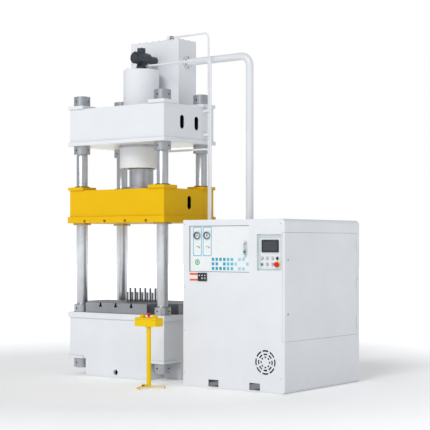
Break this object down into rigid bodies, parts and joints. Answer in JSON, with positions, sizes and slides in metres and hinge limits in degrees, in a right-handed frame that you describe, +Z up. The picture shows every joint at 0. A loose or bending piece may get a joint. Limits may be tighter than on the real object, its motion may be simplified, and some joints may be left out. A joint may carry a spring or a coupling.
{
  "type": "hydraulic press",
  "caption": "Four-column hydraulic press with moving slide, bed cushion, overhead main cylinder, side power unit with control panel, and two-hand control stand.",
  "frame": {"origin": "on the floor, under the middle of the press's four columns", "axes": "+X to the right along the front, +Y to the back, +Z up"},
  "size_m": [3.259, 2.107, 4.095],
  "materials": {
    "white_paint": "semi-gloss off-white enamel",
    "yellow_paint": "semi-gloss signal yellow enamel",
    "ground_steel": "ground steel plate",
    "hard_chrome": "hard chrome, ground",
    "bright_steel": "turned steel",
    "bronze": "bearing bronze",
    "forged_steel": "off-white enamel over forged steel",
    "polyurethane": "moulded packing",
    "black_bolts": "black oxide",
    "hard_pins": "hardened and ground",
    "valve_iron": "dark grey enamel over cast iron",
    "pipe_paint": "off-white enamel over steel tube",
    "grey_paint": "grey enamel",
    "motor_paint": "blue enamel",
    "white_board": "printed panel",
    "black_case": "moulded black",
    "needle_red": "red lacquer",
    "float_blue": "moulded blue-green",
    "clear_tube": "clear acrylic tube",
    "silver_button": "satin",
    "green_button": "moulded green",
    "red_button": "moulded red"
  },
  "bodies": {
    "press_frame": {"bed_frame": "white_paint", "bolster_plate": "ground_steel", "guide_columns": "hard_chrome", "column_nuts": "bright_steel", "crown_frame": "white_paint", "cylinder_barrel": "forged_steel", "cylinder_lock_nut": "bright_steel", "cylinder_gland": "forged_steel", "gland_bolts": "black_bolts", "ram_seals": "polyurethane", "prefill_valve": "valve_iron", "valve_screws": "black_bolts", "prefill_tank": "white_paint", "tank_cover": "white_paint", "suction_pipe": "white_paint", "pressure_pipe": "pipe_paint", "return_pipe": "pipe_paint", "pilot_pipe": "pipe_paint", "pipe_clamps": "white_paint", "cushion_cylinder": "forged_steel", "cabinet_plinth": "grey_paint", "cabinet_shell": "white_paint", "cabinet_front": "white_paint", "mimic_board": "white_board", "gauge_cases": "black_case", "level_tube": "clear_tube", "operator_tray": "grey_paint", "operator_screen": "black_case", "fan_housing": "grey_paint", "oil_tank": "grey_paint", "pump_motor": "motor_paint", "gear_pump": "valve_iron", "valve_manifold": "valve_iron", "stand_frame": "yellow_paint", "stand_box": "yellow_paint"},
    "slide": {"slide_frame": "yellow_paint", "slide_bushes": "bronze", "main_ram": "hard_chrome", "ram_flange": "bright_steel", "ram_flange_bolts": "black_bolts"},
    "cushion": {"cushion_ram": "hard_chrome", "cushion_plate": "ground_steel", "cushion_pins": "hard_pins"},
    "side_door": {"side_door": "white_paint"},
    "fan_rotor": {"fan_rotor": "black_case"},
    "motor_shaft": {"motor_shaft": "bright_steel"},
    "gauge_needle_left": {"gauge_needle_left": "needle_red"},
    "gauge_needle_right": {"gauge_needle_right": "needle_red"},
    "level_float": {"level_float": "float_blue"},
    "mode_selector": {"mode_selector": "black_case"},
    "panel_stop": {"panel_stop": "red_button"},
    "palm_button_left": {"palm_button_left": "green_button"},
    "palm_button_right": {"palm_button_right": "green_button"},
    "stand_stop": {"stand_stop": "red_button"},
    "button_start": {"button_start": "silver_button"},
    "button_hold": {"button_hold": "silver_button"},
    "button_reset": {"button_reset": "silver_button"},
    "button_up": {"button_up": "green_button"},
    "button_down": {"button_down": "silver_button"},
    "button_eject": {"button_eject": "silver_button"}
  },
  "joints": [
    {"name": "slide_travel", "type": "slide", "parent": "press_frame", "child": "slide", "axis": [0, 0, 1], "range_m": [-0.49, 0.21]},
    {"name": "cushion_travel", "type": "slide", "parent": "press_frame", "child": "cushion", "axis": [0, 0, 1], "range_m": [-0.2, 0]},
    {"name": "door_hinge", "type": "hinge", "parent": "press_frame", "child": "side_door", "pos_m": [2.497, 0.852, 1.1225], "axis": [0, 0, 1], "range_deg": [0, 110]},
    {"name": "fan_spin", "type": "hinge", "parent": "press_frame", "child": "fan_rotor", "pos_m": [2.242, -0.58, 0.324], "axis": [0, 1, 0], "continuous": true},
    {"name": "motor_spin", "type": "hinge", "parent": "press_frame", "child": "motor_shaft", "pos_m": [1.705, 0.64, 0.86], "axis": [1, 0, 0], "continuous": true},
    {"name": "gauge_needle_left_turn", "type": "hinge", "parent": "press_frame", "child": "gauge_needle_left", "pos_m": [1.324, -0.61, 1.667], "axis": [0, 1, 0], "range_deg": [0, 270], "stiffness_Nm_per_rad": 0.0002},
    {"name": "gauge_needle_right_turn", "type": "hinge", "parent": "press_frame", "child": "gauge_needle_right", "pos_m": [1.46, -0.61, 1.667], "axis": [0, 1, 0], "range_deg": [0, 270], "stiffness_Nm_per_rad": 0.0002},
    {"name": "level_float_rise", "type": "slide", "parent": "press_frame", "child": "level_float", "axis": [0, 0, 1], "range_m": [-0.02, 0.08]},
    {"name": "mode_selector_turn", "type": "hinge", "parent": "press_frame", "child": "mode_selector", "pos_m": [2.372, -0.585, 1.424], "axis": [0, 1, 0], "range_deg": [-45, 45]},
    {"name": "button_start_press", "type": "slide", "parent": "press_frame", "child": "button_start", "axis": [0, 1, 0], "range_m": [0, 0.004], "stiffness_N_per_m": 600},
    {"name": "button_hold_press", "type": "slide", "parent": "press_frame", "child": "button_hold", "axis": [0, 1, 0], "range_m": [0, 0.004], "stiffness_N_per_m": 600},
    {"name": "button_reset_press", "type": "slide", "parent": "press_frame", "child": "button_reset", "axis": [0, 1, 0], "range_m": [0, 0.004], "stiffness_N_per_m": 600},
    {"name": "button_up_press", "type": "slide", "parent": "press_frame", "child": "button_up", "axis": [0, 1, 0], "range_m": [0, 0.004], "stiffness_N_per_m": 600},
    {"name": "button_down_press", "type": "slide", "parent": "press_frame", "child": "button_down", "axis": [0, 1, 0], "range_m": [0, 0.004], "stiffness_N_per_m": 600},
    {"name": "button_eject_press", "type": "slide", "parent": "press_frame", "child": "button_eject", "axis": [0, 1, 0], "range_m": [0, 0.004], "stiffness_N_per_m": 600},
    {"name": "panel_stop_press", "type": "slide", "parent": "press_frame", "child": "panel_stop", "axis": [0, 1, 0], "range_m": [0, 0.004], "stiffness_N_per_m": 1200},
    {"name": "palm_button_left_press", "type": "slide", "parent": "press_frame", "child": "palm_button_left", "axis": [0, 0, -1], "range_m": [0, 0.004], "stiffness_N_per_m": 1500},
    {"name": "palm_button_right_press", "type": "slide", "parent": "press_frame", "child": "palm_button_right", "axis": [0, 0, -1], "range_m": [0, 0.004], "stiffness_N_per_m": 1500},
    {"name": "stand_stop_press", "type": "slide", "parent": "press_frame", "child": "stand_stop", "axis": [0, 0, -1], "range_m": [0, 0.004], "stiffness_N_per_m": 1500}
  ]
}
